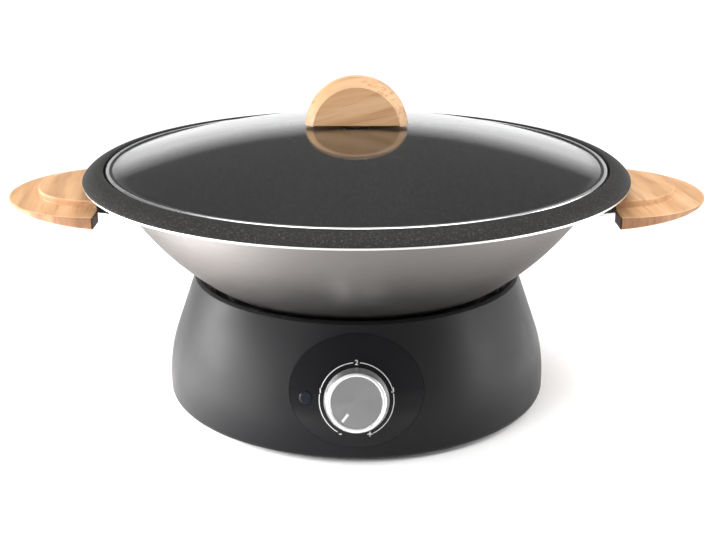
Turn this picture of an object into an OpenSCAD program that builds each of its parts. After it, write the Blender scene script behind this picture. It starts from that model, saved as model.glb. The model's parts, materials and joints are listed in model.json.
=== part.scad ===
// Table-top electric wok: a lift-off pan with two half-round beech handles and
// a glass lid, on a round heated base with one thermostat knob at the front.
// Millimetres. +Z is up, the knob faces -Y, the handles lie along X, and the
// origin is the centre of the base on the table.

/* [Base] */
// Height of the base from the table to its lip
base_h = 84.5; // [79:0.5:91]
// Radius of the base where it is widest
base_r = 129.4; // [124:0.1:140]
// Width of the base's lip
lip_t = 3.6; // [3:0.1:4.5]
// Height at which the base is widest
flare_z = 12; // [9:0.5:16]
// Height at which the arc gives way to the straight upper wall
flank_join_z = 45; // [34:1:52]
// Wall of the moulded base
shell_wall = 2.6; // [2:0.1:3.2]
// Radius of the rounded bottom edge
skirt_round = 3.5; // [2:0.5:6]
// Height of the rubber feet below the base
foot_h = 2.5; // [2:0.1:4]
// Radius of a rubber foot
foot_r = 9; // [6:0.5:12]
// How far inside the base's widest point the feet are centred
foot_set = 30.4; // [26:0.1:48]
// Thickness of the steel bottom plate
bottom_t = 1.5; // [1:0.1:2]
// Number of cooling slots in each ring of the bottom plate
slot_count = 18; // [12:1:22]

/* [Heating] */
// Height of the heating plate's face, on which the pan stands
plate_z = 63.5; // [61:0.5:67]
// Radius of the cast heating plate
plate_r = 63; // [56:0.5:68]
// Thickness of the heating plate
plate_t = 8; // [7:0.5:10]
// How far inside the plate's edge the heating element runs
element_set = 19; // [15:0.5:23]
// Radius of the sheathed heating element
element_r = 3.25; // [2.8:0.05:3.6]
// Gap between the heating plate and the reflector's floor
reflector_drop = 9; // [7:0.5:11]
// Sheet thickness of the reflector
reflector_t = 1; // [0.8:0.1:1.4]
// Radius of the opening in the reflector's floor
reflector_hole_r = 22; // [16:0.5:24]

/* [Controls] */
// Drop of the knob's axis below the panel's centre
axis_drop = 5.1; // [3:0.1:8]
// Half width of the oval panel
panel_a = 41; // [36:0.5:44]
// Distance from the panel's upper end to the lip
panel_top_gap = 5.5; // [4:0.1:10]
// Distance from the panel's lower end to the foot of the wall
panel_foot_gap = 9.7; // [6:0.1:13]
// Thickness of the panel
panel_t = 1.4; // [1:0.1:1.6]
// How far the panel stands out of the wall
panel_proud = 0.3; // [0.1:0.1:0.6]
// Radius of the knob at its skirt
knob_r = 19.8; // [17:0.1:21.5]
// Radius of the knob at its face
knob_face_r = 17.9; // [16:0.1:19]
// Height of the knob from its skirt to its face
knob_h = 11; // [9:0.5:14]
// Radius of the satin disc in the knob's face
disc_r = 15.2; // [12:0.1:16]
// Radius of the spindle
spindle_r = 3; // [2.5:0.1:3.2]
// Sideways turn of the pilot lamp from the knob's axis
lamp_turn = 14.2; // [13:0.1:16]
// Radius of the pilot lamp's lens
lens_r = 4; // [3:0.1:4.5]

/* [Pan] */
// Outer radius of the pan's rolled rim
rim_r = 180; // [174:0.5:190]
// Height of the pan from its foot to the crest of its rim
pan_h = 96.8; // [91:0.1:104]
// Width of the rolled rim, from the lid's well to its outer edge
rim_w = 13.6; // [11:0.1:17]
// How far the lid's seat reaches outside the bowl
ledge_w = 3.65; // [2:0.05:6]
// Radius of the pan's flat foot
pan_foot_r = 61; // [54:0.5:66]
// Wall of the bowl
bowl_wall = 3; // [2.4:0.1:4]
// Thickness of the pan's floor
pan_floor_t = 4; // [3.5:0.1:6]
// Thickness of the rim
rim_t = 2.8; // [2.4:0.1:3.4]
// Drop from the crest to the lower edge of the rim
rim_drop = 8.2; // [7:0.1:10]
// Depth of the lid's seat below the crest
seat_drop = 6.2; // [5.8:0.1:7.5]

/* [Handles] */
// Radius of the half-round handle slab
handle_r = 68; // [58:0.5:72]
// How far inside the rim's edge the slab is centred
handle_set = 15.6; // [12:0.1:22]
// Drop of the slab's face below the crest
handle_drop = 22; // [18:0.5:26]
// Thickness of the slab at its hollow end
slab_t = 7.5; // [6.5:0.1:10]
// Slope of the slab's underside towards its tip
slab_slope = 5.4; // [0:0.1:5.6]
// Radius of the raised step on the slab
step_r = 46; // [40:0.5:56]
// How far outside the slab's centre the step is centred
step_set = 2.6; // [0:0.1:8]
// Height of the step above the slab
step_t = 5; // [2:0.1:6]
// How far inside the rim's edge the hollow end lies
hollow_set = 8; // [6:0.5:12]
// Width of the steel bracket under a handle
bracket_w = 58; // [40:1:70]
// Thickness of the bracket
bracket_t = 2; // [1.6:0.1:3]

/* [Lid] */
// Height of the steel band
band_h = 5.8; // [5.4:0.1:6.4]
// Width of the band's upper lip
band_lip_w = 2.4; // [2:0.1:4]
// Sheet thickness of the band
band_t = 0.8; // [0.6:0.1:1]
// Thickness of the glass
glass_t = 4; // [3.4:0.1:4.2]
// Rise of the glass from the band to its middle
dome_rise = 24.3; // [18:0.1:34]
// Radius of the half-round beech grip
grip_r = 34.2; // [28:0.1:40]
// Depth below the grip's foot at which its circle is centred
grip_sink = 3; // [1:0.5:6]
// Thickness of the grip from front to back
grip_t = 22; // [16:0.5:28]
// Width of the bevel round the grip's faces
grip_bevel = 5; // [3:0.5:8]

/* [Clearances] */
// Gap round the lid in its seat
lid_gap = 1.5; // [1:0.1:2.5]
// Gap round a moulded or cast piece in its recess
fit_gap = 0.2; // [0.15:0.05:0.4]
// Gap between the spindle and its bush
turn_gap = 0.3; // [0.2:0.05:0.4]
// Gap between the bowl and what stands beside it
bowl_gap = 0.4; // [0.3:0.1:1]
// Gap between the bowl and the base's lip
throat_gap = 4; // [3:0.1:7]
// Gap between the knob's skirt and the panel
knob_gap = 0.9; // [0.6:0.1:1.5]

/* [Hidden] */
$fn = 96;
eps = 0.01;

// Pan
well_r = rim_r - rim_w;
rim_roll_r = rim_w * 1.2;
crest_z = plate_z + pan_h;
seat_z = crest_z - seat_drop;
ledge_r = well_r - ledge_w;
bowl_z = (pow(ledge_r, 2) - pow(pan_foot_r, 2) + pow(seat_z, 2) - pow(plate_z, 2))
    / (2 * (seat_z - plate_z));
bowl_ball_r = norm([pan_foot_r, bowl_z - plate_z]);
bowl_in_r = bowl_ball_r - bowl_wall;
function ball_edge(r, z) = sqrt(pow(r, 2) - pow(bowl_z - z, 2));
roll_x = well_r + rim_t * 0.15;
roll_z = crest_z - rim_roll_r;
rim_edge_z = crest_z - rim_drop;

// Base wall: an arc from the widest point that runs on, with no kink, in a
// straight line to the lip
lip_in_r = ball_edge(bowl_ball_r, base_h) + throat_gap;
lip_r = lip_in_r + lip_t;
function lean_of_wall(n) = n == 0 ? 0 : atan((base_r - lip_r
    - (flank_join_z - flare_z) * tan(lean_of_wall(n - 1) / 2)) / (base_h - flank_join_z));
wall_slope = lean_of_wall(24);
flank_arc_r = (flank_join_z - flare_z) / sin(wall_slope);
flank_x = base_r - flank_arc_r;
function flank_edge(z, inset = 0) =
    flank_x + sqrt(pow(flank_arc_r - inset, 2) - pow(z - flare_z, 2));
function cone_edge(z, inset = 0) =
    lip_r + (base_h - z) * tan(wall_slope) - inset / cos(wall_slope);
function wall_r(z) = z < flank_join_z ? flank_edge(z) : cone_edge(z);
function wall_lean(z) = z < flank_join_z ? asin((z - flare_z) / flank_arc_r) : wall_slope;
lip_round = 1.1;
lip_top_t = 3;
collar_t = 2.4;
collar_h = 11;
collar_z = base_h - collar_h;
collar_foot_r = cone_edge(collar_z, shell_wall);
edge_flange_t = 4;
edge_flange_w = 6.3;
plate_seat_r = base_r - 7.1;
edge_flange_in_r = plate_seat_r - edge_flange_w;
bottom_r = plate_seat_r - fit_gap;
bottom_top_z = foot_h + bottom_t;
foot_circle_r = base_r - foot_set;

// Screws in the base
screw_r = 1.6;
screw_head_r = 3.2;
screw_head_h = 1.4;
boss_r = 4;
base_screw_circle_r = (plate_seat_r + edge_flange_in_r) / 2;
base_screw_len = 9;
base_screw_turns = [30 : 60 : 330];
collar_screw_circle_r = collar_foot_r - screw_head_r - 0.6;
collar_screw_len = 7;
collar_screw_turns = [45 : 90 : 315];

// Reflector and plate
plate_foot_z = plate_z - plate_t;
reflector_z = plate_foot_z - reflector_drop;
reflector_floor_r = plate_r + 11;
tab_w = 7;
tab_turns = [52, 67, 113, 128, 232, 247, 293, 308];
tab_top_z = base_h - 1;
plate_boss_r = 5;
plate_boss_circle_r = plate_r - 9;
plate_boss_turns = [30, 150, 270];
reflector_top_z = reflector_z + reflector_t;
element_z = plate_foot_z - element_r * 0.25;
element_open = 60;
element_circle_r = plate_r - element_set;
element_end = [element_circle_r * cos(60), element_circle_r * sin(60)];
element_end_z = reflector_z - 5;
pin_r = 1.2;
pin_len = 6;

// Panel and knob axis, which stands square on the wall
panel_top_z = base_h - panel_top_gap;
panel_foot_z = foot_h + panel_foot_gap;
panel_z = (panel_top_z + panel_foot_z) / 2;
axis_z = panel_z - axis_drop;
axis_tilt = wall_lean(axis_z);
panel_b = (panel_top_z - panel_foot_z) / 2 / cos(axis_tilt);
panel_reach = shell_wall * 8;
axis_r = wall_r(axis_z);
seat_depth = 6;
seat_r = 14;
bush_r = 5;
nut_t = 2;
nut_r = 7;
nut_out = panel_proud + 0.2;
knob_foot = panel_proud + knob_gap;
pointer_turn = 217;
knob_skin = 1.6;
knob_hub_t = 3;
disc_sink = 1;
disc_t = 0.5;
thermo_w = 28;
thermo_h = 24;
thermo_d = 14;
lamp_r = lens_r + 1.2;
lens_shank = 7;
lamp_len = 12;

// Handles
handle_x = rim_r - handle_set;
step_x = handle_x + step_set;
handle_hollow_r = rim_r - hollow_set;
handle_top_z = crest_z - handle_drop;
handle_z = handle_top_z - slab_t;
bracket_len = 34;
bracket_x0 = ball_edge(bowl_ball_r, handle_z);
bracket_root = bracket_w * 0.6;
weld_top_z = handle_z - (handle_hollow_r - bracket_x0) * tan(slab_slope);
weld_h = 15;
handle_screw_r = 2.2;
handle_screw_head_r = 4.4;
handle_screw_head_h = 2.4;
handle_screw_len = 9;
handle_screw_out = bracket_len * 0.55;
handle_screw_y = bracket_w * 0.3;

// Lid
lid_r = well_r - lid_gap;
band_top_z = seat_z + band_h;
band_lip_r = lid_r - band_lip_w;
glass_edge_r = lid_r - band_t - 0.5;
glass_edge_top_z = band_top_z - band_t - fit_gap;
glass_foot_z = seat_z + band_t + fit_gap;
dome_top_z = glass_edge_top_z + dome_rise;
dome_r = (pow(band_lip_r, 2) + pow(dome_rise, 2)) / (2 * dome_rise);
dome_z = dome_top_z - dome_r;
grip_hole_r = 4;
washer_t = 0.6;
grip_z = dome_top_z + washer_t;
washer_r = 11;
inner_washer_t = 1.6;
inner_washer_z = dome_top_z - glass_t - inner_washer_t - fit_gap;
lid_screw_r = 2.4;
lid_screw_head_r = 5;
lid_screw_head_h = 2.6;
lid_screw_depth = 16;

// Inlet at the back
inlet_z = flare_z + 12;
inlet_flange = [39, 27];
inlet_body = [28, 19.4];
inlet_hollow = [24.4, 15.6];
inlet_face_y = wall_r(inlet_z) - 4.4;
inlet_flange_t = 2.2;
inlet_body_len = 20;
inlet_pad = 4;
inlet_depth = 16;
pin_blade = [2, 4];
pin_tail_y = inlet_face_y - inlet_body_len - 4;

// Wiring
wire_r = 1.3;
block_size = [34, 16, 12];
block_y = inlet_face_y - 46.4;
fuse_r = 3;
fuse_len = 12;
fuse_z = reflector_z - 9;
capillary_r = 0.9;
bulb_r = 2.8;
bulb_len = 30;
bulb_z = plate_foot_z - 1.2;
capillary_z = axis_z - (seat_depth + thermo_d) * sin(axis_tilt);
capillary_y = -8;

// ---- helpers ------------------------------------------------------------

// Puts its children at the same place for each turn about the vertical axis
module ring_of(turns, r, z) {
    for (turn = turns)
        rotate([0, 0, turn]) translate([r, 0, z]) children();
}

// Puts its children on the wall of the base with +Z along the wall's outward
// normal, turned away from the front by the given angle
module on_wall(turn, z) {
    rotate([0, 0, -turn]) translate([0, -wall_r(z), z])
        rotate([90 - axis_tilt, 0, 0]) children();
}

// Half outline of the base, in radius and height, drawn in by inset
module wall_outline(inset = 0, z0 = foot_h, z1 = base_h) {
    intersection() {
        union() {
            polygon([[0, z0], [base_r - inset, z0], [base_r - inset, flare_z],
                [flank_edge(flank_join_z, inset), flank_join_z],
                [cone_edge(z1, inset), z1], [0, z1]]);
            intersection() {
                translate([flank_x, flare_z]) circle(flank_arc_r - inset, $fn = 240);
                translate([0, flare_z]) square([base_r + 1, flank_join_z - flare_z]);
            }
        }
        translate([0, z0]) square([base_r + 10, z1 - z0]);
    }
}

// Ellipse of the panel, grown by a margin
module panel_oval(grow = 0) {
    steps = 60;
    polygon([for (i = [0 : steps - 1]) [(panel_a + grow) * cos(i * 360 / steps),
        (panel_b + grow) * sin(i * 360 / steps)]]);
}

// The layer of the wall under the panel, between two depths
module panel_layer(outer, inner, grow) {
    intersection() {
        difference() {
            rotate_extrude() wall_outline(-outer);
            rotate_extrude() wall_outline(inner);
        }
        on_wall(0, panel_z) translate([0, 0, -panel_reach])
            linear_extrude(2 * panel_reach) panel_oval(grow);
    }
}

// A screw that points up, with its head below the origin
module screw_up(r, len, head_r, head_h) {
    cylinder(r = r, h = len, $fn = 24);
    translate([0, 0, -head_h]) cylinder(r1 = head_r * 0.8, r2 = head_r, h = head_h, $fn = 24);
}

// A round wire through a list of points
module wire(points, r) {
    for (i = [0 : len(points) - 2]) {
        run = points[i + 1] - points[i];
        translate(points[i])
            rotate([0, acos(run[2] / norm(run)), atan2(run[1], run[0])])
                cylinder(r = r, h = norm(run), $fn = 20);
    }
    for (i = [1 : len(points) - 2])
        translate(points[i]) sphere(r * 1.15, $fn = 20);
}

// Unit vector along a run
function unit(v) = v / norm(v);

// Direction of a route at one of its points
function heading(p, i) = i == 0 ? unit(p[1] - p[0])
    : i == len(p) - 1 ? unit(p[i] - p[i - 1])
    : unit(unit(p[i] - p[i - 1]) + unit(p[i + 1] - p[i]));

// Eight-sided lead swept along a route that never runs along X
module lead(route) {
    sides = 8;
    last = len(route) - 1;
    points = [for (i = [0 : last]) let (
        along = heading(route, i),
        across = unit(cross(along, [1, 0, 0])),
        up = cross(across, along))
        for (k = [0 : sides - 1]) route[i]
            + wire_r * (cos(k * 360 / sides) * across + sin(k * 360 / sides) * up)];
    walls = [for (i = [0 : last - 1]) for (k = [0 : sides - 1])
        let (a = i * sides + k, b = i * sides + (k + 1) % sides)
        [a, a + sides, b + sides, b]];
    polyhedron(points, concat(walls, [[for (k = [0 : sides - 1]) k],
        [for (k = [sides - 1 : -1 : 0]) last * sides + k]]));
}

// ---- base ---------------------------------------------------------------

// Moulded wall with a rounded foot, a collar round the pan's opening, screw
// bosses, a seat for the thermostat and a flat pad for the inlet
module base_shell() color("#2b2b2d") {
    difference() {
        union() {
            rotate_extrude() shell_section();
            intersection() {
                rotate_extrude() wall_outline(0, bottom_top_z);
                union() {
                    ring_of(base_screw_turns, base_screw_circle_r, bottom_top_z)
                        cylinder(r = boss_r, h = base_screw_len + 1, $fn = 32);
                    ring_of(collar_screw_turns, collar_screw_circle_r, collar_z)
                        cylinder(r = boss_r, h = collar_screw_len + 2, $fn = 32);
                    on_wall(0, axis_z) translate([0, 0, -seat_depth])
                        cylinder(r = seat_r, h = seat_depth + 4);
                    translate([-inlet_flange[0] / 2 - inlet_pad, inlet_face_y - inlet_pad,
                        inlet_z - inlet_flange[1] / 2 - inlet_pad / 2])
                        cube([inlet_flange[0] + 2 * inlet_pad, inlet_body_len,
                            inlet_flange[1] + inlet_pad]);
                }
            }
        }
        panel_layer(1, panel_t + fit_gap, fit_gap);
        on_wall(0, axis_z) translate([0, 0, -panel_reach])
            cylinder(r = bush_r + fit_gap, h = 2 * panel_reach);
        on_wall(lamp_turn, axis_z) translate([0, 0, -panel_reach])
            cylinder(r = lens_r + fit_gap, h = 2 * panel_reach, $fn = 40);
        ring_of(base_screw_turns, base_screw_circle_r, 0)
            cylinder(r = screw_r + fit_gap / 2, h = bottom_top_z + base_screw_len, $fn = 24);
        ring_of(collar_screw_turns, collar_screw_circle_r, collar_z - 1)
            cylinder(r = screw_r + fit_gap / 2, h = collar_screw_len + 1.5, $fn = 24);
        translate([0, inlet_face_y, inlet_z])
            inlet_block(inlet_flange, inlet_body_len, fit_gap);
        translate([0, inlet_face_y - inlet_body_len, inlet_z])
            inlet_block(inlet_body, 2 * inlet_body_len, fit_gap);
    }
}

// Half section of the moulded wall
module shell_section() {
    difference() {
        wall_outline();
        translate([0, -eps]) wall_outline(shell_wall, bottom_top_z + edge_flange_t - bottom_t,
            base_h - lip_top_t);
        translate([-1, 0]) square([edge_flange_in_r + 1, base_h / 2]);
        translate([-1, 0]) square([plate_seat_r + 1, bottom_top_z]);
        translate([-1, base_h / 2 - 1]) square([lip_in_r + 1, base_h]);
        translate([lip_r, base_h]) rotate(wall_slope / 2 - 45)
            square([4 * lip_round, 1.4 * lip_round], center = true);
        difference() {
            translate([base_r - skirt_round, foot_h - 1]) square([skirt_round + 1, skirt_round + 1]);
            translate([base_r - skirt_round, foot_h + skirt_round]) circle(skirt_round);
        }
    }
    translate([lip_in_r, collar_z]) square([collar_t, base_h - collar_z - 1]);
}

// Rounded box along +Y, centred on its outer end
module inlet_block(size, len, grow = 0) {
    translate([-size[0] / 2 - grow, 0, -size[1] / 2 - grow])
        cube([size[0] + 2 * grow, len, size[1] + 2 * grow]);
}

// Steel cover with two rings of cooling slots and holes for screws and feet
module bottom_plate() color("#8a8c8e") {
    slot_r = 2;
    difference() {
        translate([0, 0, foot_h]) cylinder(r = bottom_r, h = bottom_t, $fn = 180);
        for (ring = [[34, 18], [64, 20]])
            for (i = [0 : slot_count - 1])
                rotate([0, 0, (i + 0.5) * 360 / slot_count])
                    translate([ring[0], -slot_r, foot_h - 1])
                        cube([ring[1], 2 * slot_r, bottom_t + 2]);
        ring_of(base_screw_turns, base_screw_circle_r, foot_h - 1)
            cylinder(r = screw_r + fit_gap, h = bottom_t + 2, $fn = 24);
        ring_of(collar_screw_turns, foot_circle_r, foot_h - 1)
            cylinder(r = foot_r * 0.35 + fit_gap, h = bottom_t + 2, $fn = 24);
    }
}

// Rubber feet with a plug that snaps through the bottom plate
module feet() color("#1b1b1b") {
    ring_of(collar_screw_turns, foot_circle_r, 0) {
        cylinder(r1 = foot_r - 1, r2 = foot_r, h = foot_h, $fn = 40);
        translate([0, 0, foot_h - eps])
            cylinder(r = foot_r * 0.35, h = bottom_t + 2 * eps, $fn = 24);
        translate([0, 0, bottom_top_z])
            cylinder(r1 = foot_r * 0.5, r2 = foot_r * 0.3, h = 3, $fn = 24);
    }
}

// Screws that hold the bottom plate
module base_screws() color("#b9bbbd") {
    ring_of(base_screw_turns, base_screw_circle_r, foot_h)
        screw_up(screw_r, base_screw_len, screw_head_r, screw_head_h);
}

// Sheet dish that throws heat upwards, with tabs that centre the pan
module reflector() color("#c9c7c2") {
    tab_r = ball_edge(bowl_ball_r, tab_top_z) + bowl_gap;
    rim_in_r = tab_r - 1;
    difference() {
        union() {
            rotate_extrude() polygon([
                [reflector_hole_r, reflector_z],
                [reflector_floor_r, reflector_z],
                [rim_in_r + reflector_t, collar_z - reflector_t],
                [collar_foot_r - 1, collar_z - reflector_t],
                [collar_foot_r - 1, collar_z],
                [rim_in_r, collar_z],
                [reflector_floor_r - reflector_t, reflector_top_z],
                [reflector_hole_r, reflector_top_z]]);
            ring_of([for (turn = tab_turns) turn - 90], tab_r, collar_z - reflector_t / 2)
                translate([0, -tab_w / 2, 0])
                    cube([reflector_t, tab_w, tab_top_z - collar_z + reflector_t / 2]);
        }
        ring_of(collar_screw_turns, collar_screw_circle_r, collar_z - 4)
            cylinder(r = screw_r + fit_gap, h = 8, $fn = 24);
        ring_of(plate_boss_turns, plate_boss_circle_r, reflector_z - 1)
            cylinder(r = screw_r + fit_gap, h = 4, $fn = 24);
        for (side = [-1, 1])
            translate([side * element_end[0], element_end[1], reflector_z - 1])
                cylinder(r = element_r + 2, h = 4, $fn = 32);
    }
}

// Screws that hold the reflector under the collar
module reflector_screws() color("#b9bbbd") {
    ring_of(collar_screw_turns, collar_screw_circle_r, collar_z - reflector_t)
        screw_up(screw_r, collar_screw_len, screw_head_r, screw_head_h);
}

// Cast plate with a groove for the element, one for the sensor and three bosses
module heating_plate() color("#9b9ea1") {
    difference() {
        union() {
            translate([0, 0, plate_foot_z]) cylinder(r = plate_r, h = plate_t - 1, $fn = 120);
            translate([0, 0, plate_z - 1 - eps])
                cylinder(r1 = plate_r, r2 = plate_r - 1, h = 1 + eps, $fn = 120);
            ring_of(plate_boss_turns, plate_boss_circle_r, reflector_top_z)
                cylinder(r = plate_boss_r, h = plate_foot_z - reflector_top_z + 1, $fn = 40);
        }
        translate([0, 0, element_z]) rotate([0, 0, 90 + element_open / 2])
            rotate_extrude(angle = 360 - element_open)
                translate([element_circle_r, 0]) circle(element_r + fit_gap, $fn = 32);
        for (side = [-1, 1])
            translate([side * element_end[0], element_end[1], plate_foot_z - element_r])
                cylinder(r = element_r + 0.8, h = 2 * element_r, $fn = 32);
        translate([0, capillary_y - 2, bulb_z]) rotate([-90, 0, 0])
            cylinder(r = bulb_r + fit_gap, h = bulb_len + 4, $fn = 32);
        ring_of(plate_boss_turns, plate_boss_circle_r, reflector_z)
            cylinder(r = screw_r + fit_gap / 2, h = plate_foot_z - reflector_z + 3, $fn = 24);
    }
}

// Sheathed element, open at the back, with two ends that drop to the wires
module heating_element() color("#5d5a58") {
    translate([0, 0, element_z]) rotate([0, 0, 90 + element_open / 2])
        rotate_extrude(angle = 360 - element_open)
            translate([element_circle_r, 0]) circle(element_r, $fn = 32);
    for (side = [-1, 1]) translate([side * element_end[0], element_end[1], 0]) {
        translate([0, 0, element_z]) sphere(element_r * 1.08, $fn = 32);
        translate([0, 0, element_end_z])
            cylinder(r = element_r, h = element_z - element_end_z, $fn = 32);
        translate([0, 0, element_end_z - pin_len])
            cylinder(r = pin_r, h = pin_len + 1, $fn = 20);
    }
}

// Screws that hold the plate's bosses on the reflector
module plate_screws() color("#b9bbbd") {
    ring_of(plate_boss_turns, plate_boss_circle_r, reflector_z)
        screw_up(screw_r, plate_foot_z - reflector_z + 1, screw_head_r, screw_head_h);
}

// ---- controls -----------------------------------------------------------

// Glossy oval plate that follows the wall
module control_panel() color("#121214") {
    difference() {
        panel_layer(panel_proud, panel_t, 0);
        on_wall(0, axis_z) translate([0, 0, -panel_reach])
            cylinder(r = bush_r + fit_gap, h = 2 * panel_reach);
        on_wall(lamp_turn, axis_z) translate([0, 0, -panel_reach])
            cylinder(r = lens_r + fit_gap, h = 2 * panel_reach, $fn = 40);
    }
}

// Lens of the pilot lamp
module pilot_lens() color("#6f7480") {
    on_wall(lamp_turn, axis_z) {
        translate([0, 0, -lens_shank])
            cylinder(r = lens_r, h = lens_shank + panel_proud, $fn = 40);
        translate([0, 0, panel_proud - eps])
            cylinder(r1 = lens_r, r2 = lens_r - 0.8, h = 0.5, $fn = 40);
    }
}

// Lamp holder behind the lens
module pilot_lamp() color("#d8d4c8") {
    on_wall(lamp_turn, axis_z)
        translate([0, 0, -lens_shank - lamp_len]) {
            cylinder(r = lamp_r, h = lamp_len - 0.1, $fn = 32);
            for (side = [-1, 1]) translate([side * 2.4 - 0.4, -1.2, -5])
                cube([0.8, 2.4, 6]);
        }
}

// Thermostat: body, threaded bush and terminals on the knob's axis
module thermostat() color("#b8a98c") {
    on_wall(0, axis_z) difference() {
        union() {
            translate([-thermo_w / 2, -thermo_h / 2, -seat_depth - thermo_d])
                cube([thermo_w, thermo_h, thermo_d]);
            translate([0, 0, -seat_depth - 1])
                cylinder(r = bush_r, h = seat_depth + 1 + nut_out + nut_t + 0.5);
            for (side = [-1, 1])
                translate([side * 8 - 2.4, -thermo_h / 2 - 5, -seat_depth - thermo_d + 2])
                    cube([4.8, 6, 0.8]);
        }
        translate([0, 0, -seat_depth - thermo_d + 4])
            cylinder(r = spindle_r + turn_gap, h = 2 * (seat_depth + thermo_d));
    }
}

// Nut on the bush, hidden under the knob
module thermostat_nut() color("#b9bbbd") {
    on_wall(0, axis_z) translate([0, 0, nut_out]) difference() {
        cylinder(r = nut_r, h = nut_t, $fn = 6);
        translate([0, 0, -1]) cylinder(r = bush_r + 0.1, h = nut_t + 2);
    }
}

// Sensor bulb in the plate's groove and the fine tube back to the thermostat
module sensor_tube() color("#b87346") {
    translate([0, capillary_y, bulb_z]) rotate([-90, 0, 0])
        cylinder(r = bulb_r, h = bulb_len, $fn = 28);
    wire([[0, -axis_r + (seat_depth + thermo_d) * cos(axis_tilt)
            + capillary_r * tan(axis_tilt), capillary_z],
        [0, capillary_y, capillary_z], [0, capillary_y, bulb_z]], capillary_r);
}

// ---- wiring -------------------------------------------------------------

// Ceramic block on the bottom plate where the leads meet
module terminal_block() color("#e4e0d6") {
    difference() {
        translate([-block_size[0] / 2, block_y - block_size[1] / 2, bottom_top_z])
            cube(block_size);
        for (i = [-1 : 1]) {
            translate([i * 11, block_y - 20, bottom_top_z + block_size[2] * 0.5])
                rotate([-90, 0, 0]) cylinder(r = 2, h = 40, $fn = 24);
            translate([i * 11, block_y, bottom_top_z + block_size[2] * 0.5])
                cylinder(r = 2.4, h = 20, $fn = 24);
        }
    }
}

// Thermal fuse in the lead of one element end
module thermal_fuse() color("#cfcabb") {
    translate([element_end[0], element_end[1] + 8, fuse_z]) rotate([-90, 0, 0])
        difference() {
            cylinder(r = fuse_r, h = fuse_len, $fn = 28);
            translate([0, 0, -1]) cylinder(r = wire_r + 0.1, h = fuse_len + 2, $fn = 20);
        }
}

// Insulated leads between inlet, block, thermostat and element
module wiring() color("#8e2f27") {
    mid_z = bottom_top_z + block_size[2] * 0.5;
    tab_point = [8, -axis_r + (seat_depth + thermo_d) * cos(axis_tilt)
        - (thermo_h / 2 + 5) * sin(axis_tilt) + wire_r, bottom_top_z + 4];
    for (side = [-1, 1]) {
        lead([[side * element_end[0], element_end[1] + pin_r, fuse_z],
            [side * element_end[0], element_end[1] + fuse_len + 12, fuse_z],
            [side * 11, block_y - 14, mid_z],
            [side * 11, block_y - 4, mid_z]]);
        lead([[side * 11, block_y + 4, mid_z],
            [side * 11, pin_tail_y - 9, mid_z],
            [side * 7, pin_tail_y - 4, inlet_z - 2],
            [side * 7, pin_tail_y, inlet_z - 2]]);
    }
    lead([tab_point, tab_point + [0, 12, 0], [0, block_y - 16, mid_z],
        [0, block_y - 4, mid_z]]);
}

// Moulded inlet for a detachable lead: flange, body and hollow
module inlet_shell() color("#151515") {
    difference() {
        translate([0, inlet_face_y, inlet_z]) union() {
            inlet_block(inlet_flange, inlet_flange_t);
            translate([0, -inlet_body_len, 0]) inlet_block(inlet_body, inlet_body_len + 1);
        }
        translate([0, inlet_face_y + inlet_flange_t - inlet_depth, inlet_z])
            inlet_hollow_block();
        for (i = [-1 : 1])
            translate([i * 7, inlet_face_y - inlet_body_len - 1, inlet_z + (i == 0 ? 2 : -2)])
                inlet_block(pin_blade, inlet_body_len, fit_gap / 2);
    }
}

// Hollow of the inlet, with its two upper corners cut off
module inlet_hollow_block() {
    w = inlet_hollow[0] / 2;
    h = inlet_hollow[1] / 2;
    cut = 4;
    rotate([90, 0, 0]) translate([0, 0, -inlet_depth - 1])
        linear_extrude(inlet_depth + 1)
            polygon([[-w, -h], [w, -h], [w, h - cut], [w - cut, h],
                [-w + cut, h], [-w, h - cut]]);
}

// Three contact blades of the inlet
module inlet_pins() color("#c9b37a") {
    for (i = [-1 : 1])
        translate([i * 7, pin_tail_y, inlet_z + (i == 0 ? 2 : -2)])
            inlet_block(pin_blade, inlet_body_len + 2);
}

// ---- knob ---------------------------------------------------------------

// Hollow knob with a hub on the spindle and a rounded face
module control_knob() color("#d5d7d9") {
    hub_r = spindle_r + knob_hub_t;
    hub_foot = nut_out + nut_t + 1.4;
    top = knob_foot + knob_h;
    on_wall(0, axis_z) difference() {
        rotate_extrude() {
            difference() {
                knob_outline(0, knob_foot, top);
                knob_outline(knob_skin, knob_foot - 1, top - knob_skin - disc_sink);
                translate([-1, top - disc_t - fit_gap]) square([disc_r + fit_gap + 1, knob_h]);
            }
            translate([spindle_r + 0.5, hub_foot])
                square([hub_r - spindle_r - 0.5, top - disc_sink - hub_foot - 0.5]);
        }
        translate([0, 0, hub_foot - 2])
            cylinder(r = spindle_r + 0.05, h = knob_h - hub_foot - 1 + knob_foot);
    }
}

// Half outline of the knob, with a small round at the face
module knob_outline(inset, z0, z1) {
    round_r = inset == 0 ? 1.2 : 0.6;
    skirt_r = knob_r - inset;
    face_r = knob_face_r - inset;
    polygon([[0, z0], [skirt_r, z0], [face_r, z1 - round_r], [0, z1 - round_r]]);
    polygon([[0, z1 - round_r - eps], [face_r, z1 - round_r - eps],
        [face_r - round_r * 0.3, z1 - round_r * 0.3], [face_r - round_r, z1], [0, z1]]);
}

// Satin disc in the face, with the pointer's groove
module knob_disc() color("#b4b5b6") {
    top = knob_foot + knob_h;
    on_wall(0, axis_z) difference() {
        translate([0, 0, top - disc_t - fit_gap]) cylinder(r = disc_r, h = disc_t);
        rotate([0, 0, 90 - pointer_turn])
            translate([disc_r * 0.55, -disc_r * 0.05, top - disc_t])
                cube([disc_r * 0.38, disc_r * 0.1, knob_h]);
    }
}

// Spindle between the thermostat and the knob
module spindle() color("#a9abad") {
    on_wall(0, axis_z) translate([0, 0, -seat_depth - thermo_d + 4.5])
        cylinder(r = spindle_r, h = seat_depth + thermo_d - 4.5 + knob_foot + knob_h - 3.4);
}

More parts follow.
